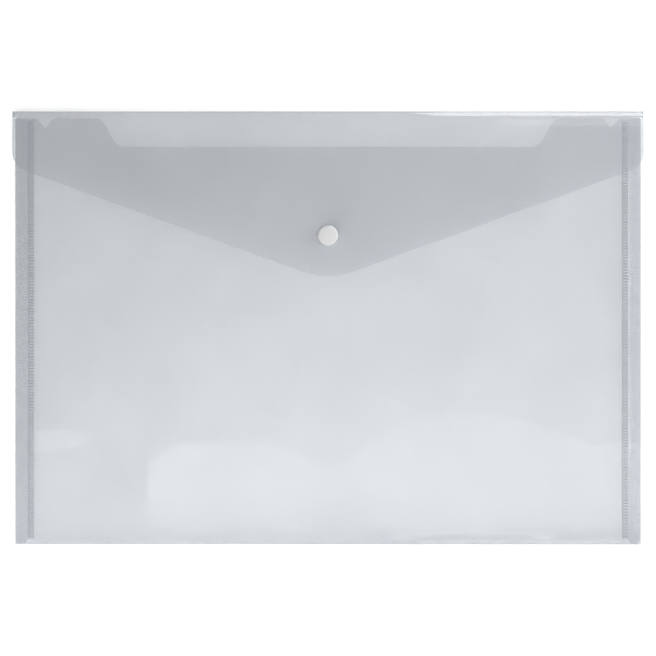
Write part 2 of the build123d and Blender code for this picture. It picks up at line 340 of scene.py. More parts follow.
def rounded_path(corners, radii):
    """Points along straight runs whose inner corners are rounded with the radii."""
    points = [Vector(corners[0])]
    for before, corner, after, radius in zip(corners, corners[1:], corners[2:], radii):
        arrive = (Vector(corner) - Vector(before)).normalized()
        leave = (Vector(after) - Vector(corner)).normalized()
        turn = arrive.angle_signed(leave)
        reach = radius * tan(abs(turn) / 2)
        centre = Vector(corner) + (leave - arrive).normalized() * radius / cos(turn / 2)
        spoke = Vector(corner) - arrive * reach - centre
        points += arc(centre, radius, atan2(spoke.y, spoke.x), -turn)
    points.append(Vector(corners[-1]))
    return points


def height_on(path, x):
    """Height of a path, sorted by x, at one place."""
    after = min(max(bisect_right([p.x for p in path], x), 1), len(path) - 1)
    low, high = path[after - 1], path[after]
    if high.x - low.x < TINY:
        return high.y
    return low.y + (high.y - low.y) * min(max((x - low.x) / (high.x - low.x), 0), 1)


def stations(marks, step):
    """The marks on both sides of the middle, with even steps between them."""
    marks = sorted({round(side * m, 7) for m in marks for side in (-1, 1)})
    places = []
    for low, high in zip(marks, marks[1:]):
        count = max(1, round((high - low) / step))
        places += [low + (high - low) * i / count for i in range(count)]
    return places + [marks[-1]]


def spread(low, high, step):
    """Even steps from low to high, both included."""
    count = max(1, round(abs(high - low) / step))
    return [low + (high - low) * i / count for i in range(count + 1)]


def swell(t):
    """A smooth hump of height 1 about 0."""
    return exp(-t * t)


def ease(low, high, value):
    """0 below low, 1 above high and smooth between them."""
    t = min(max((value - low) / (high - low), 0), 1)
    return t * t * (3 - 2 * t)


def weave(bm, rows):
    """Joins rows of vertices with four-sided faces."""
    for low, high in zip(rows, rows[1:]):
        for a, b, c, d in zip(low, low[1:], high[1:], high):
            bm.faces.new((a, b, c, d))


def new_piece(name, bm):
    """A linked object that owns the mesh."""
    mesh = bpy.data.meshes.new(name)
    bm.to_mesh(mesh)
    bm.free()
    piece = bpy.data.objects.new(name, mesh)
    bpy.context.scene.collection.objects.link(piece)
    return piece


def bake_modifiers(piece):
    """Turns what the modifiers give into the piece's plain mesh."""
    bpy.context.view_layer.update()
    made = bpy.data.meshes.new_from_object(piece.evaluated_get(bpy.context.evaluated_depsgraph_get()))
    plain = piece.data
    piece.modifiers.clear()
    piece.data = made
    made.name = piece.name
    bpy.data.meshes.remove(plain)


def finish_piece(piece, material):
    """Gives a closed mesh its outward faces, smooth shading and material."""
    bm = bmesh.new()
    bm.from_mesh(piece.data)
    bmesh.ops.recalc_face_normals(bm, faces=bm.faces)
    open_edges = [e for e in bm.edges if not e.is_manifold]
    bm.to_mesh(piece.data)
    bm.free()
    if open_edges:
        raise RuntimeError(f"{piece.name} has {len(open_edges)} open edges")
    piece.data.shade_smooth()
    piece.data.set_sharp_from_angle(angle=SMOOTH_ANGLE)
    piece.data.materials.clear()
    piece.data.materials.append(material)


def film_piece(name, bm, hole_level):
    """Gives a folded sheet its thickness and the hole for the snap's post at one level."""
    snap = bpy.context.scene.wallet.snap
    bmesh.ops.recalc_face_normals(bm, faces=bm.faces)
    piece = new_piece(name, bm)
    thick = piece.modifiers.new("thickness", "SOLIDIFY")
    thick.thickness = FILM
    thick.offset = 0
    thick.use_even_offset = True
    bake_modifiers(piece)

    punch_mesh = bmesh.new()
    radius = snap.post_radius + snap.post_clearance
    bmesh.ops.create_cone(
        punch_mesh, cap_ends=True, segments=PUNCH_SEGMENTS, radius1=radius, radius2=radius, depth=4 * FILM
    )
    bmesh.ops.translate(punch_mesh, verts=punch_mesh.verts, vec=(0, SNAP_Y, hole_level))
    punch = new_piece("punch", punch_mesh)
    hole = piece.modifiers.new("post hole", "BOOLEAN")
    hole.operation = "DIFFERENCE"
    hole.solver = "EXACT"
    hole.object = punch
    bake_modifiers(piece)
    bpy.data.meshes.remove(punch.data)
    finish_piece(piece, film_material())
    return piece


def feed(tree, socket, value):
    """Links a socket to another one, or sets it to a plain value."""
    if isinstance(value, bpy.types.NodeSocket):
        tree.links.new(value, socket)
    else:
        socket.default_value = value


def new_node(tree, kind, operation, values):
    """A node that works on sockets or plain values, in the order of its inputs."""
    node = tree.nodes.new(kind)
    node.operation = operation
    for socket, value in zip(node.inputs, values):
        feed(tree, socket, value)
    return node


def reckon(tree, operation, *values):
    """What a step of arithmetic gives."""
    return new_node(tree, "ShaderNodeMath", operation, values).outputs[0]


def map_range(tree, value, before, after, smooth=False):
    """A value that runs between the ends after as the one given runs between the ends before."""
    node = tree.nodes.new("ShaderNodeMapRange")
    if smooth:
        node.interpolation_type = "SMOOTHSTEP"
    tree.links.new(value, node.inputs["Value"])
    for name, end in zip(("From Min", "From Max", "To Min", "To Max"), (*before, *after)):
        node.inputs[name].default_value = end
    return node.outputs["Result"]


def object_place(tree):
    """The place on the object."""
    return tree.nodes.new("ShaderNodeTexCoord").outputs["Object"]


def distance_from(tree, middle, stretch):
    """How far a place on the object is from the middle, after a stretch along each axis."""
    spot = new_node(tree, "ShaderNodeVectorMath", "SUBTRACT", (object_place(tree), middle))
    wide = new_node(tree, "ShaderNodeVectorMath", "MULTIPLY", (spot.outputs["Vector"], stretch))
    return new_node(tree, "ShaderNodeVectorMath", "LENGTH", (wide.outputs["Vector"],)).outputs["Value"]


def grain_group():
    """Fine grain and broad clouds, which every finish of the wallet shares."""
    group = bpy.data.node_groups.get("grain_and_clouds")
    if group:
        return group
    group = bpy.data.node_groups.new("grain_and_clouds", "ShaderNodeTree")
    face = group.interface
    face.new_socket("Place", in_out="INPUT", socket_type="NodeSocketVector")
    for name in ("Grain Scale", "Cloud Scale"):
        face.new_socket(name, in_out="INPUT", socket_type="NodeSocketFloat")
    for name in ("Grain", "Clouds"):
        face.new_socket(name, in_out="OUTPUT", socket_type="NodeSocketFloat")
    nodes, links = group.nodes, group.links
    entry = nodes.new("NodeGroupInput")
    leave = nodes.new("NodeGroupOutput")
    noises = (("Grain", "Grain Scale", GRAIN_DETAIL), ("Clouds", "Cloud Scale", CLOUD_DETAIL))
    for output, scale, detail in noises:
        noise = nodes.new("ShaderNodeTexNoise")
        noise.inputs["Detail"].default_value = detail
        links.new(entry.outputs["Place"], noise.inputs["Vector"])
        links.new(entry.outputs[scale], noise.inputs["Scale"])
        links.new(noise.outputs["Fac"], leave.inputs[output])
    return group


def new_finish(name, scales, colours, roughness):
    """A material whose colour follows the shared clouds, and its roughness the shared grain."""
    material = bpy.data.materials.new(name)
    material.use_nodes = True
    tree = material.node_tree
    shader = tree.nodes["Principled BSDF"]
    pattern = tree.nodes.new("ShaderNodeGroup")
    pattern.node_tree = grain_group()
    for socket, scale in zip(("Grain Scale", "Cloud Scale"), scales):
        pattern.inputs[socket].default_value = scale
    tree.links.new(object_place(tree), pattern.inputs["Place"])
    grain, clouds = pattern.outputs["Grain"], pattern.outputs["Clouds"]

    mix = tree.nodes.new("ShaderNodeMix")
    mix.data_type = "RGBA"
    for socket, tint in zip(("A", "B"), colours):
        mix.inputs[socket].default_value = (*tint, 1)
    tree.links.new(clouds, mix.inputs["Factor"])
    tree.links.new(mix.outputs["Result"], shader.inputs["Base Color"])
    tree.links.new(map_range(tree, grain, NOISE_SPAN, roughness), shader.inputs["Roughness"])
    return material, shader, grain, clouds


def see_through(material, clouds, haze, shader):
    """Feeds the alpha with a haze whose shadow is only a share of it.

    It thickens where the film is seen at a slant. It also thickens towards the bottom fold's edge and
    along the cut edges of the flap that stand out at the sides, which darkens them as painted shade.
    """
    tree = material.node_tree
    look = bpy.context.scene.wallet.film

    def square(value):
        return reckon(tree, "MULTIPLY", value, value)

    facing = tree.nodes.new("ShaderNodeLayerWeight").outputs["Facing"]
    axes = tree.nodes.new("ShaderNodeSeparateXYZ")
    tree.links.new(object_place(tree), axes.inputs["Vector"])
    # Painted shade: the haze thickens towards the bottom fold's edge, which darkens the film there
    crease_shade = (BOTTOM_EDGE + look.crease_shade_reach, BOTTOM_EDGE)
    crease_shade_mask = map_range(tree, axes.outputs["Y"], crease_shade, (0, 1))
    # Painted shade: the haze thickens on the flap's overhang at the sides, which darkens it like the shadow
    # under it
    aside = reckon(tree, "ABSOLUTE", axes.outputs["X"])
    overhang_shade_mask = map_range(tree, aside, (SIDE_X, SIDE_X + HALF_FILM), (0, 1))
    hidden = tree.nodes.new("ShaderNodeLightPath").outputs["Is Shadow Ray"]
    effects = (
        (square(facing), look.slant),
        (square(square(crease_shade_mask)), look.crease_shade),
        (overhang_shade_mask, look.overhang),
        (hidden, look.shadow),
    )
    alpha = map_range(tree, clouds, NOISE_SPAN, haze)
    for effect, strength in effects:
        alpha = reckon(tree, "MULTIPLY", alpha, map_range(tree, effect, (0, 1), (1, strength)))
    tree.links.new(alpha, shader.inputs["Alpha"])


def film_material():
    """Translucent colourless film with a fine satin grain and faint clouds of haze."""
    if "wallet_film" in bpy.data.materials:
        return bpy.data.materials["wallet_film"]
    look = bpy.context.scene.wallet.film
    roughness = (look.roughness, look.grain_roughness)
    colours = (look.tint, look.cloud_tint)
    material, shader, _, clouds = new_finish("wallet_film", FILM_SCALES, colours, roughness)
    shader.inputs["IOR"].default_value = 1.5
    shader.inputs["Specular IOR Level"].default_value = 1.0
    see_through(material, clouds, (look.haze - look.haze_spread, look.haze + look.haze_spread), shader)
    return material


def melted_material(name, tint, haze):
    """Film that was melted in the weld: darker and duller."""
    look = bpy.context.scene.wallet.film
    less, more = 1 - look.weld_spread, 1 + look.weld_spread
    colours = (tint, [less * c for c in tint])
    roughness = (look.weld_roughness, look.weld_grain_roughness)
    material, shader, _, clouds = new_finish(name, WELD_SCALES, colours, roughness)
    see_through(material, clouds, (less * haze, more * haze), shader)
    return material


def snap_material():
    """White moulded plastic with a soft gloss and a faint grain."""
    look = bpy.context.scene.wallet.snap
    roughness = (look.roughness, look.grain_roughness)
    material, shader, grain, _ = new_finish("wallet_snap", SNAP_SCALES, (look.plastic, look.shade), roughness)
    tree = material.node_tree
    relief = tree.nodes.new("ShaderNodeBump")
    relief.inputs["Strength"].default_value = look.grain_relief
    relief.inputs["Distance"].default_value = look.grain_depth
    tree.links.new(grain, relief.inputs["Height"])
    tree.links.new(relief.outputs["Normal"], shader.inputs["Normal"])
    return material


def mouth_outline(pocket):
    """Right half of the front panel's upper edge, from the middle to the side."""
    recess_y = HINGE_HIGH.y - pocket.recess_drop
    notch_x = SIDE_X - pocket.notch_inset
    corners = [
        (0, recess_y),
        (SIDE_X - pocket.recess_foot_inset, recess_y),
        (SIDE_X - pocket.recess_top_inset, SHOULDER_Y),
        (notch_x - pocket.notch_half_width, SHOULDER_Y),
        (notch_x, SHOULDER_Y - pocket.notch_depth),
        (notch_x + pocket.notch_half_width, SHOULDER_Y),
        (SIDE_X, SHOULDER_Y),
        (SIDE_X, recess_y),
    ]
    radii = [
        pocket.recess_foot_radius,
        pocket.recess_top_radius,
        pocket.notch_lip_radius,
        pocket.notch_root_radius,
        pocket.notch_lip_radius,
        pocket.corner_radius,
    ]
    return rounded_path(corners, radii)[:-1]


def ripple(x, y):
    """Height of the slack film's ripples over its flat level, low on the wallet."""
    slope = sum(steepness * swell((x - hump) / width) for hump, width, steepness in RIPPLES)
    hold = 1 - ease(RIPPLE_FADE, RIPPLE_END, abs(x))
    return hold * slope * (y - RIPPLE_Y) * swell((y - RIPPLE_Y) / RIPPLE_REACH)


def tab_profile(pocket):
    """Middle line of a tab across the wallet, as distance from the middle and height."""
    fold_z = BACK_LOW.z + pocket.side_fold_radius
    fold_middle = pocket.side_fold_radius - HALF_FILM
    bend = Vector((-FLANGE_LOW.x, FLANGE_HIGH.z - HALF_FILM))
    run, climb = BACK_X - bend.x, bend.y - fold_z
    tilt = atan2(climb, run) - asin(fold_middle / hypot(run, climb))
    turn = arc((BACK_X, fold_z), fold_middle, -pi / 2, pi - tilt, SIDE_FOLD_STEPS)
    free = (-FLANGE_HIGH.x, bend.y)
    rise = rounded_path([turn[-1], bend, free], [pocket.tab_bend_radius])
    slope = [rise[0].lerp(rise[1], i / TAB_STEPS) for i in range(TAB_STEPS)]
    return turn[1:-1] + slope + rise[1:]


def tab_end(pocket, z):
    """Lower end of a tab at one height, which follows the inside of the bottom fold."""
    nose = BOTTOM_RADIUS - FILM - pocket.tab_end_gap
    if abs(z - BOTTOM_RADIUS) >= nose:
        return BOTTOM_Y + pocket.tab_end_gap
    return BOTTOM_Y - sqrt(nose * nose - (z - BOTTOM_RADIUS) ** 2)


def back_level(pocket, x, y):
    """Height of the back panel's middle line, with a low swell that ripples as the front does."""
    lift = pocket.ripple * BACK_SWELL
    rise = lift * swell((y - RIPPLE_Y) / BACK_SWELL_Y) * swell(x / BACK_SWELL_X) ** 2
    return BACK_Z + rise * (1 + pocket.ripple * ripple(x, y) / BACK_SWELL)


def pocket_rows(pocket, columns, outline):
    """Middle surface of the back, the bottom fold and the front, as rows of points."""
    back_ys = [HINGE_Y, *spread(SHOULDER_Y, BOTTOM_Y + pocket.tab_end_gap, pocket.mesh_step), BOTTOM_Y]
    rows = []
    for y in back_ys:
        narrow = 1 if y == BOTTOM_Y else BACK_X / SIDE_X
        rows.append([(x, y, back_level(pocket, x, y)) for x in (narrow * column for column in columns)])
    centre, radius = (BOTTOM_Y, BOTTOM_RADIUS), BOTTOM_RADIUS - HALF_FILM
    fold = arc(centre, radius, -pi / 2, -pi, BOTTOM_FOLD_STEPS)
    rows += [[(x, p.x, p.y) for x in columns] for p in fold[1:-1]]
    for y in spread(BOTTOM_Y, STRAIGHT_Y, pocket.mesh_step):
        rows.append([(x, y, FRONT_Z + pocket.ripple * ripple(x, y)) for x in columns])
    tops = [height_on(outline, abs(x)) for x in columns]
    for t in spread(0, 1, 1 / MOUTH_STEPS)[1:]:
        rows.append([(x, STRAIGHT_Y + t * (top - STRAIGHT_Y), FRONT_Z) for x, top in zip(columns, tops)])
    return back_ys, rows


def flap_outline(flap):
    """Right half of the flap's lower edge, from the tip to the side."""
    apex_y = TIP_Y - flap.tip_radius * (1 / cos(flap.slope) - 1)
    corner_y = apex_y + FLAP_X * tan(flap.slope)
    corners = [(-FLAP_X, corner_y), (0, apex_y), (FLAP_X, corner_y), (FLAP_X, HINGE_Y)]
    path = rounded_path(corners, [flap.tip_radius, flap.corner_radius])[:-1]
    return [p for p in path if p.x > -TINY]


def flap_level(flap, y):
    """Height of the flap's middle line: level, a shallow S of two arcs, and level again."""
    start_y, start_z = HINGE_Y - flap.fold_land, HINGE_HIGH.z - HALF_FILM
    run, climb = start_y - SNAP_Y - flap.snap_land, FLAP_Z - start_z
    radius = (run * run + climb * climb) / (4 * climb)
    along = min(max(start_y - y, 0), run)
    near = min(along, run - along)
    sag = radius - sqrt(radius * radius - near * near)
    return start_z + (sag if along < run / 2 else climb - sag)


def rib_tree(material):
    """Geometry nodes that set a row of ribs along each weld."""
    tree = bpy.data.node_groups.new("weld_ladder", "GeometryNodeTree")
    face = tree.interface
    inputs = {}
    for name in ("Left", "Right", "First", "Level", "Length", "Height", "Pitch", "Rib", "Crown"):
        inputs[name] = face.new_socket(name, in_out="INPUT", socket_type="NodeSocketFloat").identifier
    inputs["Count"] = face.new_socket("Count", in_out="INPUT", socket_type="NodeSocketInt").identifier
    face.new_socket("Geometry", in_out="OUTPUT", socket_type="NodeSocketGeometry")
    nodes, links = tree.nodes, tree.links
    entry = nodes.new("NodeGroupInput").outputs

    def vector(x, y, z):
        node = nodes.new("ShaderNodeCombineXYZ")
        for socket, value in zip(node.inputs, (x, y, z)):
            feed(tree, socket, value)
        return node.outputs[0]

    # One rib: a four-sided frustum of unit size, turned square to the weld and stretched
    frustum = nodes.new("GeometryNodeMeshCone")
    frustum.inputs["Vertices"].default_value = 4
    half_diagonal = sqrt(0.5)
    frustum.inputs["Radius Bottom"].default_value = half_diagonal
    frustum.inputs["Depth"].default_value = 1
    links.new(reckon(tree, "MULTIPLY", entry["Crown"], half_diagonal), frustum.inputs["Radius Top"])
    square = nodes.new("GeometryNodeTransform")
    square.inputs["Rotation"].default_value = (0, 0, pi / 4)
    links.new(frustum.outputs["Mesh"], square.inputs["Geometry"])
    stretch = nodes.new("GeometryNodeTransform")
    links.new(square.outputs["Geometry"], stretch.inputs["Geometry"])
    links.new(vector(entry["Length"], entry["Rib"], entry["Height"]), stretch.inputs["Scale"])

    join = nodes.new("GeometryNodeJoinGeometry")
    for side in ("Left", "Right"):
        row = nodes.new("GeometryNodeMeshLine")
        links.new(entry["Count"], row.inputs["Count"])
        start = vector(entry[side], entry["First"], entry["Level"])
        links.new(start, row.inputs["Start Location"])
        links.new(vector(0, entry["Pitch"], 0), row.inputs["Offset"])
        ribs = nodes.new("GeometryNodeInstanceOnPoints")
        links.new(row.outputs["Mesh"], ribs.inputs["Points"])
        links.new(stretch.outputs["Geometry"], ribs.inputs["Instance"])
        links.new(ribs.outputs["Instances"], join.inputs["Geometry"])
    realize = nodes.new("GeometryNodeRealizeInstances")
    paint = nodes.new("GeometryNodeSetMaterial")
    paint.inputs["Material"].default_value = material
    links.new(join.outputs["Geometry"], realize.inputs["Geometry"])
    links.new(realize.outputs["Geometry"], paint.inputs["Geometry"])
    links.new(paint.outputs["Geometry"], nodes.new("NodeGroupOutput").inputs["Geometry"])
    return tree, inputs


def lathe(name, profile, segments):
    """A closed moulding of revolution about the snap's axis, from radius and height."""
    bm = bmesh.new()
    rings = []
    for radius, z in profile:
        turns = segments if radius > TINY else 1
        angles = [2 * pi * i / segments for i in range(turns)]
        rings.append([bm.verts.new((radius * cos(a), SNAP_Y + radius * sin(a), z)) for a in angles])
    for ring, following in zip(rings, rings[1:] + rings[:1]):
        if len(ring) == 1 and len(following) == 1:
            continue
        for i in range(segments):
            k = (i + 1) % segments
            here, there = len(ring), len(following)
            corners = [ring[i % here], ring[k % here], following[k % there], following[i % there]]
            bm.faces.new(list(dict.fromkeys(corners)))
    return new_piece(name, bm)


def cap_profile(snap):
    """Outside button with its low dome, rounded rim and post."""
    radius, seat, face = CAP_HIGH.x, FLAP_HIGH.z, CAP_HIGH.z
    ball, rim_x = snap.cap_dome, radius - snap.cap_rim
    tilt = asin(rim_x / (ball - snap.cap_rim))
    rim_z = face - ball + (ball - snap.cap_rim) * cos(tilt)
    dome = arc((0, face - ball), ball, pi / 2, -tilt, DOME_STEPS)[:-1]
    rim = arc((rim_x, rim_z), snap.cap_rim, pi / 2 - tilt, tilt - pi / 2, CAP_RIM_STEPS)
    flare_top = SOCKET_HIGH.z - snap.web
    post = [
        (radius, seat),
        (snap.post_radius, seat),
        (snap.post_radius, flare_top),
        (snap.flare_radius, flare_top),
        (snap.flare_radius, CAP_LOW.z),
        (0, CAP_LOW.z),
    ]
    return [(p.x, p.y) for p in dome + rim] + post


def socket_profile(snap):
    """Cup under the flap, with a flange and a lip round its mouth."""
    seat, foot = SOCKET_HIGH.z, SOCKET_LOW.z
    mouth = snap.bulb_radius + snap.clearance
    hollow = mouth + snap.lip
    return [
        (snap.post_radius, seat),
        (SOCKET_HIGH.x, seat),
        (SOCKET_HIGH.x, seat - snap.flange),
        (hollow + snap.wall, seat - snap.flange),
        (hollow + snap.wall, foot),
        (mouth, foot),
        (mouth, foot + snap.lip_height),
        (hollow, foot + snap.lip_height + snap.lip),
        (hollow, seat - snap.web),
        (snap.post_radius, seat - snap.web),
    ]


def stud_profile(snap):
    """Bulb on the front panel, with a flange."""
    seat, top = STUD_LOW.z, STUD_HIGH.z
    neck = snap.bulb_radius - snap.neck
    return [
        (snap.post_radius, seat),
        (STUD_HIGH.x, seat),
        (STUD_HIGH.x, seat + snap.flange),
        (neck, seat + snap.flange),
        (neck, top - snap.bulb_height),
        (snap.bulb_radius, top - snap.bulb_height + snap.neck),
        (snap.bulb_radius, top - snap.neck),
        (neck, top),
        (snap.flare_radius, top),
        (snap.flare_radius, top - snap.flare),
        (snap.post_radius, top - snap.flare),
    ]


def inner_profile(snap):
    """Low cap inside the pocket, with its post."""
    radius, face, seat, top = INNER_HIGH.x, INNER_LOW.z, FRONT_LOW.z, INNER_HIGH.z
    centre = (radius - snap.inner_rim, face + snap.inner_rim)
    rim = arc(centre, snap.inner_rim, 0, -pi / 2, INNER_RIM_STEPS)
    return [
        (radius, seat),
        *[(p.x, p.y) for p in rim],
        (0, face),
        (0, top),
        (snap.flare_radius, top),
        (snap.flare_radius, top - snap.flare),
        (snap.post_radius, top - snap.flare),
        (snap.post_radius, seat),
    ]


class WALLET_OT_pocket_sheet(bpy.types.Operator):
    """Folds one sheet of film into the back, the front and the two side tabs"""

    bl_idname = "wallet.pocket_sheet"
    bl_label = "Pocket sheet"

    def execute(self, context):
        pocket = context.scene.wallet.pocket
        outline = mouth_outline(pocket)
        columns = stations([p.x for p in outline], pocket.mesh_step)
        back_ys, rows = pocket_rows(pocket, columns, outline)
        bm = bmesh.new()
        verts = [[bm.verts.new(p) for p in row] for row in rows]
        weave(bm, verts)

        # The tabs grow out of the back's side edges, and their rows fan out to the ends
        profile = tab_profile(pocket)
        tab_width = SIDE_X - profile[-1].x
        lowest = back_ys[-2]
        for side, column in ((-1, 0), (1, -1)):
            tab_rows = []
            for y, row in zip(back_ys[1:-1], verts[1:-1]):
                t = (y - lowest) / (SHOULDER_Y - lowest)
                strip = [row[column]]
                for x, z in profile:
                    low = tab_end(pocket, z)
                    high = SHOULDER_Y - pocket.tab_top_slant * (SIDE_X - x) / tab_width
                    strip.append(bm.verts.new((side * x, low + t * (high - low), z)))
                tab_rows.append(strip)
            weave(bm, tab_rows)

        piece = film_piece("pocket_sheet", bm, FRONT_Z)
        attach(piece, "pocket")
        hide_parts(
            "back_panel",
            "bottom_fold_back",
            "bottom_fold_front",
            "front_panel",
            "left_side_tab",
            "right_side_tab",
            "left_weld_flange",
            "right_weld_flange",
        )
        return {"FINISHED"}


class WALLET_OT_flap_sheet(bpy.types.Operator):
    """Makes the flap and the fold on which it swings as one sheet"""

    bl_idname = "wallet.flap_sheet"
    bl_label = "Flap sheet"

    def execute(self, context):
        flap = context.scene.wallet.flap
        outline = flap_outline(flap)
        columns = stations([p.x for p in outline], flap.mesh_step)
        fold = arc((HINGE_Y, HINGE_RADIUS), HINGE_RADIUS - HALF_FILM, -pi / 2, pi, TOP_FOLD_STEPS)
        rows = [[(x, p.x, p.y) for x in columns] for p in fold]
        ends = [height_on(outline, abs(x)) for x in columns]
        count = round((HINGE_Y - TIP_Y) / flap.mesh_step * FLAP_FINENESS)
        for i in range(1, count + 1):
            ys = [HINGE_Y + (end - HINGE_Y) * i / count for end in ends]
            rows.append([(x, y, flap_level(flap, y)) for x, y in zip(columns, ys)])
        bm = bmesh.new()
        weave(bm, [[bm.verts.new(p) for p in row] for row in rows])
        piece = film_piece("flap_sheet", bm, FLAP_Z)
        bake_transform(piece)
        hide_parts("closure_flap", "flap_living_hinge")
        return {"FINISHED"}


class WALLET_OT_weld_seams(bpy.types.Operator):
    """Lays both welds between the flanges and the front panel, each a melted band with ribs"""

    bl_idname = "wallet.weld_seams"
    bl_label = "Weld seams"

    def execute(self, context):
        look, weld = context.scene.wallet.film, context.scene.wallet.weld
        size, middle = WELD_HIGH - WELD_LOW, (WELD_LOW + WELD_HIGH) / 2
        foot_z, height = WELD_LOW.z + weld.gap, size.z - 2 * weld.gap
        to_rib = size.x - weld.rib_margin - weld.rib_length / 2
        width = to_rib - weld.rib_length / 2 + weld.lap
        starts = (WELD_LOW.x, -WELD_HIGH.x)
        bm = bmesh.new()
        for start in starts:
            band = bmesh.ops.create_cube(bm, size=1)["verts"]
            bmesh.ops.scale(bm, verts=band, vec=(width, size.y, height))
            spot = (start + width / 2, middle.y, foot_z + height / 2)
            bmesh.ops.translate(bm, verts=band, vec=spot)
        bands = new_piece("weld_bands", bm)
        finish_piece(bands, melted_material("wallet_weld", look.weld_tint, look.weld_haze))

        material = melted_material("wallet_rib", look.rib_tint, look.rib_haze)
        tree, inputs = rib_tree(material)
        ribs = new_piece("weld_ribs", bmesh.new())
        ladder = ribs.modifiers.new("ladder", "NODES")
        ladder.node_group = tree
        count = int((size.y - weld.rib) / weld.pitch) + 1
        values = {
            "Left": starts[0] + to_rib,
            "Right": starts[1] + to_rib,
            "First": middle.y - weld.pitch * (count - 1) / 2,
            "Level": foot_z,
            "Length": weld.rib_length,
            "Height": FRONT_HIGH.z + weld.stand - foot_z,
            "Pitch": weld.pitch,
            "Rib": weld.rib,
            "Crown": weld.crown,
            "Count": count,
        }
        for name, value in values.items():
            ladder[inputs[name]] = value
        bake_modifiers(ribs)
        finish_piece(ribs, material)
        for piece in (bands, ribs):
            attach(piece, "pocket")
            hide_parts("left_weld_seam", "right_weld_seam")
        return {"FINISHED"}


class WALLET_OT_snap(bpy.types.Operator):
    """Turns the snap's four mouldings"""

    bl_idname = "wallet.snap"
    bl_label = "Snap"

    def execute(self, context):
        snap = context.scene.wallet.snap
        material = snap_material()
        mouldings = (
            ("snap_button", cap_profile, "flap", "snap_cap"),
            ("snap_cup", socket_profile, "flap", "snap_socket"),
            ("snap_bulb", stud_profile, "pocket", "snap_stud"),
            ("snap_rivet", inner_profile, "pocket", "snap_inner_cap"),
        )
        for name, profile, body, node in mouldings:
            piece = lathe(name, profile(snap), snap.segments)
            edge = piece.modifiers.new("edges", "BEVEL")
            edge.width = snap.edge
            edge.segments = BEVEL_STEPS
            edge.limit_method = "ANGLE"
            edge.angle_limit = BEVEL_ANGLE
            edge.use_clamp_overlap = True
            bake_modifiers(piece)
            finish_piece(piece, material)
            # The haze passes most light on, so what it hides throws no shadow through it
            piece.visible_shadow = node == "snap_cap"
            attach(piece, body)
            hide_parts(node)
        return {"FINISHED"}


def glow_material(name, radiance, middle=None, stretch=(0, 1, 0), full=0, dark=1):
    """Light for a card that only shows in gloss that the eye sees.

    Where a middle is given, the light is whole up to the distance full from it, and fades to
    the world's at the distance dark, both measured after the stretch.
    """
    material = bpy.data.materials.new(name)
    material.use_nodes = True
    tree = material.node_tree
    tree.nodes.clear()
    power = radiance
    if middle is not None:
        away = distance_from(tree, middle, stretch)
        power = map_range(tree, away, (full, dark), (radiance, bpy.context.scene.wallet.studio.world))
    # Light that a dull surface has scattered doesn't find the card
    scatters = tree.nodes.new("ShaderNodeLightPath").outputs["Diffuse Depth"]
    direct = map_range(tree, scatters, (0, 1), (1, 0))
    glow = tree.nodes.new("ShaderNodeEmission")
    tree.links.new(reckon(tree, "MULTIPLY", power, direct), glow.inputs["Strength"])
    tree.links.new(glow.outputs["Emission"], tree.nodes.new("ShaderNodeOutputMaterial").inputs["Surface"])
    return material


def floor_material(studio):
    """White floor that keeps the wallet's shadow, and fades to plain white far from the lamps."""
    material = bpy.data.materials.new("floor")
    material.use_nodes = True
    tree = material.node_tree
    shader = tree.nodes["Principled BSDF"]
    shader.inputs["Base Color"].default_value = (*[studio.floor_albedo] * 3, 1)
    shader.inputs["Roughness"].default_value = studio.floor_roughness
    shader.inputs["Specular IOR Level"].default_value = 0
    away = distance_from(tree, (0, 0, 0), (1, 1, 1))
    fade = (studio.floor_near, studio.floor_far)
    white = map_range(tree, away, fade, (studio.floor_glow, 1), smooth=True)
    ray = tree.nodes.new("ShaderNodeLightPath").outputs
    seen = ray["Is Camera Ray"]
    for kind in ("Is Glossy Ray", "Is Transmission Ray"):
        seen = reckon(tree, "MAXIMUM", seen, ray[kind])
    shader.inputs["Emission Color"].default_value = (1, 1, 1, 1)
    tree.links.new(reckon(tree, "MULTIPLY", white, seen), shader.inputs["Emission Strength"])
    return material


def oblong(left, low, right, high):
    """Corners of a flat piece with level sides."""
    return [(left, low), (right, low), (right, high), (left, high)]


def stage_plane(name, corners, material):
    """A flat piece of the stage."""
    bm = bmesh.new()
    bm.faces.new([bm.verts.new(c) for c in corners])
    piece = new_piece(name, bm)
    piece.data.materials.append(material)
    return piece


def card(name, corners, material):
    """A flat light that only gloss shows."""
    piece = stage_plane(name, corners, material)
    piece.visible_camera = False
    piece.visible_diffuse = False
    piece.visible_shadow = False


def level_card(name, corners, height, material):
    """A level card at one height."""
    card(name, [(x, y, height) for x, y in corners], material)


def lay_floor(studio):
    """A wide white floor under the wallet."""
    half = studio.floor_size
    corners = [(x, y, -studio.floor_drop) for x, y in oblong(-half, -half, half, half)]
    stage_plane("floor", corners, floor_material(studio))


def light_world(scene, studio):
    """Even light from all round, which the camera sees as white."""
    scene.world = bpy.data.worlds.new("studio")
    scene.world.use_nodes = True
    tree = scene.world.node_tree
    back = tree.nodes["Background"]
    seen = tree.nodes.new("ShaderNodeLightPath").outputs["Is Camera Ray"]
    tree.links.new(map_range(tree, seen, (0, 1), (studio.world, 1)), back.inputs["Strength"])
    back.inputs["Color"].default_value = (1, 1, 1, 1)


def hang_lamps(scene, studio):
    """Two round lamps, below the wallet and at its right."""
    lamps = (
        ("front", studio.front_place, studio.front_power),
        ("side", studio.side_place, studio.side_power),
    )
    for name, where, power in lamps:
        light = bpy.data.lights.new(name, "AREA")
        light.shape = "DISK"
        light.size = studio.lamp_size
        light.energy = power
        lamp = bpy.data.objects.new(name, light)
        lamp.location = where
        aim = Vector(studio.lamp_aim) - Vector(where)
        lamp.rotation_euler = aim.to_track_quat("-Z", "Y").to_euler()
        lamp.visible_camera = False
        lamp.visible_glossy = False
        scene.collection.objects.link(lamp)


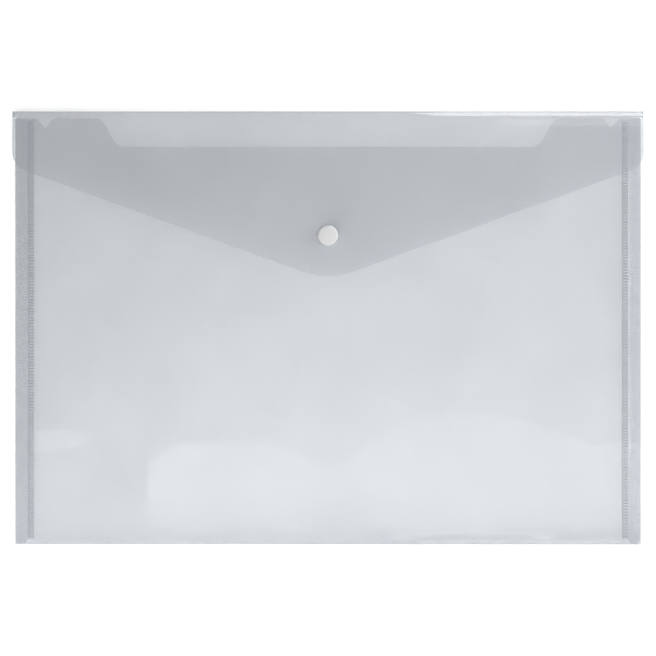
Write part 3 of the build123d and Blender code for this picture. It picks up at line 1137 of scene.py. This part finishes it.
def hang_cards(studio):
    """The lights that the body, the top fold, the flap and the button reflect."""
    top = studio.card_height
    strip = glow_material(
        "strip",
        studio.strip_radiance,
        middle=(0, STRIP_HIGH, 0),
        full=STRIP_HIGH - STRIP_FULL,
        dark=STRIP_HIGH - STRIP_LOW,
    )
    level_card("strip", oblong(STRIP_LEFT, STRIP_LOW, STRIP_RIGHT, STRIP_HIGH), top, strip)
    halo = glow_material(
        "halo", studio.halo_radiance, middle=HALO_MIDDLE, stretch=HALO_STRETCH, dark=HALO_REACH
    )
    level_card("halo", oblong(*HALO), top + CARD_LAP, halo)
    level_card("patch", PATCH, top, glow_material("patch", studio.patch_radiance))
    level_card("faint", oblong(*FAINT), top, glow_material("faint", studio.faint_radiance))
    edge = glow_material(
        "edge",
        studio.edge_radiance,
        middle=(0, EDGE_FAR, 0),
        full=EDGE_FAR - EDGE_FULL,
        dark=EDGE_FAR - EDGE_NEAR,
    )
    corners = [
        (EDGE_LEFT_HIGH, EDGE_NEAR, top),
        (EDGE_RIGHT, EDGE_NEAR, top),
        (EDGE_RIGHT, EDGE_FAR, EDGE_FOOT),
        (EDGE_LEFT_LOW, EDGE_FAR, EDGE_FOOT),
    ]
    card("edge", corners, edge)
    card("rim", RIM, glow_material("rim", studio.rim_radiance))
    level_card("behind", BEHIND, -studio.floor_drop / 2, glow_material("behind", studio.behind_radiance))


def set_camera(scene, studio):
    """A camera square over the wallet, with the photograph's frame."""
    camera = bpy.data.cameras.new("camera")
    camera.lens = camera.sensor_width * (studio.distance - FRONT_HIGH.z) / studio.view_width
    eye = bpy.data.objects.new("camera", camera)
    eye.location = (0, 0, studio.distance)
    scene.collection.objects.link(eye)
    scene.camera = eye


class WALLET_OT_stage(bpy.types.Operator):
    """Sets the floor, the world, the lamps, the cards and the camera"""

    bl_idname = "wallet.stage"
    bl_label = "Stage"

    def execute(self, context):
        scene = context.scene
        studio = scene.wallet.studio
        lay_floor(studio)
        light_world(scene, studio)
        hang_lamps(scene, studio)
        hang_cards(studio)
        set_camera(scene, studio)
        scene.view_settings.view_transform = "Standard"
        scene.cycles.transparent_max_bounces = studio.film_passes
        return {"FINISHED"}


class WALLET_PT_sidebar(bpy.types.Panel):
    """Lists the wallet's settings and the steps that build it"""

    bl_label = "Document wallet"
    bl_idname = "WALLET_PT_sidebar"
    bl_space_type = "VIEW_3D"
    bl_region_type = "UI"
    bl_category = "Wallet"

    def draw(self, context):
        settings = context.scene.wallet
        for step in STEPS:
            self.layout.operator(step.bl_idname)
        for name in settings.bl_rna.properties.keys():
            group = getattr(settings, name)
            if not isinstance(group, bpy.types.PropertyGroup):
                continue
            box = self.layout.box()
            box.label(text=name.title())
            for key in group.bl_rna.properties.keys():
                if key not in ("rna_type", "name"):
                    box.prop(group, key)


GROUPS = (FilmLook, PocketSizes, FlapSizes, WeldSizes, SnapSizes, StudioSettings, WalletSettings)
STEPS = (
    WALLET_OT_pocket_sheet,
    WALLET_OT_flap_sheet,
    WALLET_OT_weld_seams,
    WALLET_OT_snap,
    WALLET_OT_stage,
)
CLASSES = (*GROUPS, *STEPS, WALLET_PT_sidebar)


def register():
    for cls in CLASSES:
        bpy.utils.register_class(cls)
    bpy.types.Scene.wallet = PointerProperty(type=WalletSettings)


def unregister():
    del bpy.types.Scene.wallet
    for cls in reversed(CLASSES):
        bpy.utils.unregister_class(cls)


def main():
    register()
    bpy.ops.wallet.pocket_sheet()
    bpy.ops.wallet.flap_sheet()
    bpy.ops.wallet.weld_seams()
    bpy.ops.wallet.snap()
    bpy.ops.wallet.stage()


if __name__ == "__main__":
    main()
